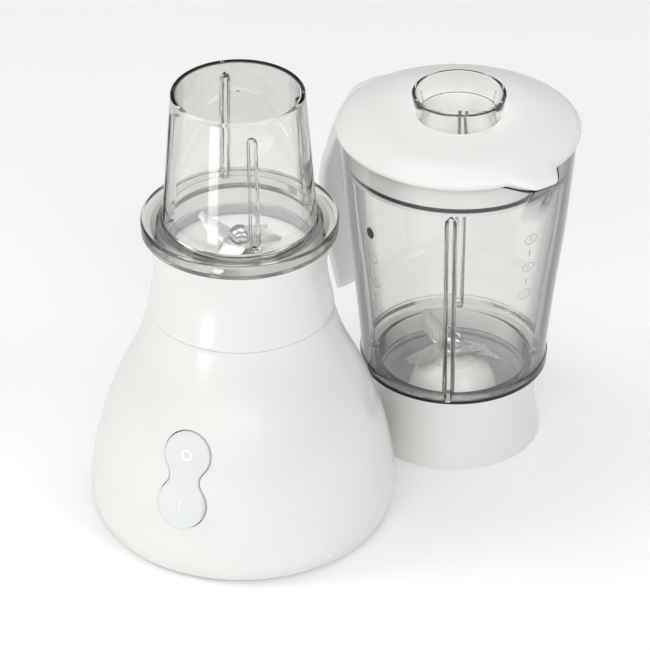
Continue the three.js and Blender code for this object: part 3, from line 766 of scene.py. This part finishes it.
def filler_cap():
    """The clear cup that closes the lid's opening, with three small lugs round it."""
    floor, seat, top = 184.4, 196.1, 208.4
    outline = [(0, floor), (21.3, floor, 1.5), (21.5, seat, 0.3), (22.6, seat, 0.3), (24.9, top - 0.8, 0.5),
               (24.7, top, 0.4), (23, top, 0.5), (20.4, seat - 0.3, 1), (19.3, floor + 2.2, 1.5), (0, floor + 2.2)]
    turned("filler_cap_clear", outline, goblet_axis, "cap", PALE_CLEAR, ["filler_cap"], columns=144)
    for k in range(3):
        out, side = direction(FIRST_LUG + 120 * k)
        rings = []
        for up, reach in ((0.3, 23.6), (3, 24.2), (6, 24.5)):
            near = 22.5 + up * 0.2
            rings.append([goblet_axis + (out * r + side * s) * MM + Vector((0, 0, (seat + up) * MM))
                          for r, s in ((near, -0.4), (near, 0.4), (reach, 0.3), (reach, -0.3))])
        finish_mesh(f"filler_cap_lug_{k + 1}", loft(rings), "cap", PALE_CLEAR, slot="clear_plastic")


def handle():
    """A strap hung from the rim and free at its lower end, drawn between its outer and inner side views."""
    outer = spline([(71.6, 185), (76, 182.4), (81, 176.4), (84.5, 169.6), (89.5, 160), (97, 142), (104.5, 113),
                    (100.5, 80), (95.5, 56), (91.8, 43.6)], 6)
    inner = spline([(66.4, 185), (65.6, 180), (66.2, 171), (70, 163.6), (77.5, 156.6), (89, 137.5), (96.3, 112),
                    (92.5, 80), (87.8, 58), (87.4, 49)], 6)
    out, side = direction(HANDLE)
    # each end is closed by rings that shrink round a quarter circle
    ends = [math.sin(math.pi / 2 * k / 5) for k in range(1, 6)]
    count = len(outer)
    shares = [(0, e) for e in ends[:-1]] + [(i, 1) for i in range(count)] + [(count - 1, e) for e in ends[-2::-1]]
    rings = []
    for i, full in shares:
        centre, half = (outer[i] + inner[i]) / 2, (outer[i] - inner[i]) / 2
        half_width = (10.8 - 3.6 * smooth_step(0.72, 1, i / (count - 1))) * (0.5 + 0.5 * full)
        ring = []
        for k in range(40):
            u = 2 * math.pi * k / 40
            cu, su = math.cos(u), math.sin(u)
            across = half_width * math.copysign(abs(cu) ** 0.55, cu)
            r, z = centre + half * full * math.copysign(abs(su) ** (0.8 if su > 0 else 0.55), su)
            lift = 1.6 * (1 - full) if i == 0 else -2.2 * (1 - full)
            ring.append(goblet_axis + (out * r + side * across) * MM + Vector((0, 0, (z + lift) * MM)))
        rings.append(ring)
    return finish_mesh("handle_moulding", loft(rings), "goblet_jug", WHITE, ["handle"], sharp=50)


# ---------------------------------------------------------------- blades and bowl
def blade(name, node, body, axis, base, turn, reach, rise, width, bottom, thick=1.4):
    """A bent strip with two wings, each ground to a bevel along its leading edge."""
    slope = math.tan(math.radians(rise))
    flat, tip = 7.0, 0.69
    out, side = direction(turn)
    stations = [-reach, -reach * 0.93, -reach * 0.7, -reach * 0.45, -flat - 1.4, -flat, -flat * 0.5, 0]
    stations += [-s for s in stations[-2::-1]]
    rings = []
    for s in stations:
        t = abs(s) / reach
        ends = 1 - 0.1 * smooth_step(0.3, 0.9, t)
        lead, trail = width / 2 * ends, width / 2 * ends
        if t > tip:
            # the tip is cut back slantwise from the leading edge
            lead *= 1 - 1.15 * (t - tip) / (1 - tip)
        sign = 1 if s > 0 else -1
        drop = max(0.0, abs(s) - flat) * slope
        drop -= 0.25 * slope * math.exp(-((abs(s) - flat) ** 2) / 3)
        grind = min(3.0, width * 0.26) if abs(s) > flat + 1 else 0.2
        z = base + bottom + drop
        section = [(-trail, 0), (lead, 0 if grind < 1 else thick * 0.42), (lead, thick * 0.5),
                   (max(lead - grind, -trail + 0.5), thick), (-trail, thick)]
        rings.append([axis + (out * s + side * (sign * q)) * MM + Vector((0, 0, (z + h) * MM)) for q, h in section])
    half = len(rings) // 2
    # the two wings run opposite ways round, so each half is skinned on its own and they meet at the hub
    bm = bmesh.new()
    for part in (rings[: half + 1], rings[half:]):
        sub = loft(part)
        mesh = bpy.data.meshes.new("wing")
        sub.to_mesh(mesh)
        sub.free()
        bm.from_mesh(mesh)
        bpy.data.meshes.remove(mesh)
    return finish_mesh(name, bm, body, BLADE, [node], sharp=25)


def cap_nut(name, node, body, axis, base):
    """A domed hexagon nut; square is 1 where a ring is a hexagon and 0 where it is round."""
    rings = []
    for z, r, square in ((0, 5.6, 1), (0.4, 5.9, 1), (3.4, 5.9, 1), (4.0, 5.4, 0.5), (4.6, 4.6, 0), (5.6, 3.6, 0),
                         (6.2, 2.2, 0), (6.4, 0.8, 0)):
        ring = []
        for k in range(48):
            a = 2 * math.pi * k / 48
            hexagon = math.cos(math.pi / 6) / math.cos((a + math.pi / 6) % (math.pi / 3) - math.pi / 6)
            reach = r * (square * hexagon + (1 - square))
            ring.append(axis + Vector((math.cos(a), math.sin(a), 0)) * reach * MM + Vector((0, 0, (base + z) * MM)))
        rings.append(ring)
    return finish_mesh(name, loft(rings), body, STEEL, [node])


def mill_blades():
    blade("mill_cutter_blades", "mill_blades", "mill_cutter", unit_axis, mill_foot, 0, 24, 24, 12, 38)
    blade("mill_cutter_lower", "mill_blades", "mill_cutter", unit_axis, mill_foot, 90, 24, -14, 12, 37.6)
    cap_nut("mill_nut", "mill_blade_nut", "mill_cutter", unit_axis, mill_foot + 39.8)


def goblet_blades():
    blade("goblet_upper_blade", "upper_blade", "goblet_cutter", goblet_axis, 0, 160, 25, 28, 13, 49.8)
    blade("goblet_lower_blade", "lower_blade", "goblet_cutter", goblet_axis, 0, 35, 25, -24, 13, 48)
    cap_nut("goblet_nut", "goblet_blade_nut", "goblet_cutter", goblet_axis, 51.5)


def blade_bowl():
    """The floor of the goblet, with the dome that the blades turn over."""
    dome = [(24, 26), (22.8, 30), (20.5, 34.5), (16.5, 38.8), (11.6, 42), (11.4, 43.6)]
    outline = [(43, 28.3, 0.3), (43, 31.4, 0.4), (39, 31.4, 0.8), (38.2, 29.6, 0.4), (36.4, 29.2, 0.8), (35.6, 26, 1),
               *[(*p, 0.8) for p in dome[:1]], *[tuple(p) for p in spline(dome[:5], 5)[1:]], (11.4, 44.4, 0.6),
               (9.3, 44.4, 0.4), (9.3, 36), (14, 36.4), (18.6, 32), (21.4, 26), (22, 23), (37.6, 23, 0.6), (37.6, 28.3)]
    bowl = turned("blade_bowl_moulding", outline, goblet_axis, "goblet_base", WHITE, ["blade_bowl"], columns=160)
    # painted shade: the trough round the dome is given a grey for the shade it lies in; the moulding itself is white
    bowl.data.materials.append(TROUGH_SHADE)
    for face in bowl.data.polygons:
        if (face.center - goblet_axis).to_2d().length > 23.6 * MM:
            face.material_index = 1
    return bowl


# ---------------------------------------------------------------- printed scale on the goblet
def on_goblet(azimuth, height, across, up, lift):
    """A point lifted off the goblet's outside, across and up from the place of a mark."""
    r = np.interp(height + up, GOBLET[:, 1], GOBLET[:, 0]) + lift
    a = math.radians(azimuth) + across / r
    return goblet_axis + Vector((r * math.cos(a), r * math.sin(a), height + up)) * MM


def scale_print(azimuth, marks, tag):
    """Small printed marks laid on the outside of the goblet, each a height, a kind and a number."""
    near, far = 0.02, 0.16
    dash = [(-0.35, -1.9), (0.35, -1.9), (0.35, 1.9), (-0.35, 1.9)]
    disc = [(2.7 * math.cos(a), 3.3 * math.sin(a)) for a in circle_angles(40)]
    for i, (height, kind, label) in enumerate(marks):
        if kind == "oval":
            section = ((0, near), (0, far), (-0.4, far), (-0.4, near))
            rings = [[on_goblet(azimuth, height, (4.2 + grow) * math.cos(t), (2.9 + grow) * math.sin(t), lift)
                      for t in circle_angles(48)] for grow, lift in section]
            bm = loft([*rings, rings[0]], cap=False)
            finish_mesh(f"scale_{tag}_oval_{i}", bm, "goblet_jug", PRINT, slot="clear_plastic")
            add_number(label, azimuth, height, f"scale_{tag}_number_{i}")
            continue
        outline, material = (dash, PRINT) if kind == "dash" else (disc, DARK_PRINT)
        rings = [[on_goblet(azimuth, height, u, v, lift) for u, v in outline] for lift in (near, far)]
        finish_mesh(f"scale_{tag}_{kind}_{i}", loft(rings), "goblet_jug", material, slot="clear_plastic")


def add_number(text, azimuth, height, name):
    """A printed number, bent round the goblet."""
    data = bpy.data.curves.new(name, "FONT")
    data.body = text
    data.size = 3.4
    data.align_x = "CENTER"
    data.align_y = "CENTER"
    data.extrude = 0.06
    data.resolution_u = 3
    source = bpy.data.objects.new(name, data)
    bpy.context.scene.collection.objects.link(source)
    mesh = bpy.data.meshes.new_from_object(source)
    bpy.data.objects.remove(source)
    bm = bmesh.new()
    bm.from_mesh(mesh)
    bpy.data.meshes.remove(mesh)
    for v in bm.verts:
        v.co = on_goblet(azimuth, height, v.co.x, v.co.y, 0.09 + v.co.z)
    finish_mesh(name, bm, "goblet_jug", PRINT, slot="clear_plastic")


def goblet_scales():
    """A scale on each side; the left one has a dark disc above it."""
    scale_print(-117.7, [(145, "disc", ""), (129, "oval", "3"), (121, "dash", ""), (113, "oval", "2"),
                         (105, "dash", ""), (97, "oval", "1")], "left")
    scale_print(-28.3, [(147, "oval", "3"), (138, "dash", ""), (129, "oval", "2"), (120, "dash", ""),
                        (111, "oval", "1")], "right")


# ---------------------------------------------------------------- build
def paint_carried_over():
    """Gives every CAD node that stays in view a procedural material of its own kind."""
    looks = {
        "base_plate": WHITE, "cord_inlet_bush": FOOT, "switch_body": BLACK, "motor_stator": SHEETS,
        "field_coil_right": COPPER, "field_coil_left": COPPER, "armature": COPPER, "commutator": COPPER,
        "motor_shaft": STEEL, "lower_bearing": STEEL, "upper_bearing": STEEL, "lower_motor_bracket": STEEL,
        "upper_motor_bracket": STEEL, "cooling_fan": BLACK, "mill_shaft_bush": STEEL, "mill_blade_shaft": STEEL,
        "mill_driven_coupling": BLACK, "goblet_shaft_bush": WHITE, "goblet_blade_shaft": STEEL,
        "goblet_driven_coupling": BLACK, "handle_pin": STEEL,
    }
    for i in (1, 2):
        looks.update({f"motor_bolt_{i}": STEEL, f"brush_holder_{i}": BLACK, f"carbon_brush_{i}": BLACK})
    for i in (1, 2, 3, 4):
        looks.update({f"foot_{i}": FOOT, f"base_screw_{i}": STEEL})
    for node, material in looks.items():
        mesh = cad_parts[node].data
        mesh.materials.clear()
        mesh.materials.append(material)


def add_floor():
    """A plain pale floor for the set to stand on."""
    bm = bmesh.new()
    bmesh.ops.create_grid(bm, x_segments=1, y_segments=1, size=4)
    mesh = bpy.data.meshes.new("floor")
    bm.to_mesh(mesh)
    bm.free()
    made, _, shader = node_material("pale_floor")
    shader.inputs["Base Color"].default_value = (0.9, 0.9, 0.9, 1)
    shader.inputs["Roughness"].default_value = 0.6
    shader.inputs["Emission Color"].default_value = (1, 1, 1, 1)
    shader.inputs["Emission Strength"].default_value = 0.11
    mesh.materials.append(made)
    floor = bpy.data.objects.new("floor", mesh)
    bpy.context.scene.collection.objects.link(floor)


bpy.context.scene.view_settings.view_transform = "Standard"
for build in (
    add_camera, add_lights, add_floor,
    motor_housing, rocker_switch, socket_deck, drive_plug, drive_flange,
    mill_collar, mill_jar, mill_seal, mill_blades,
    goblet_collar, blade_bowl, goblet_seal, goblet_blades, goblet, handle_lug, handle,
    lid, lid_seal, filler_cap, goblet_scales, paint_carried_over,
):
    build()
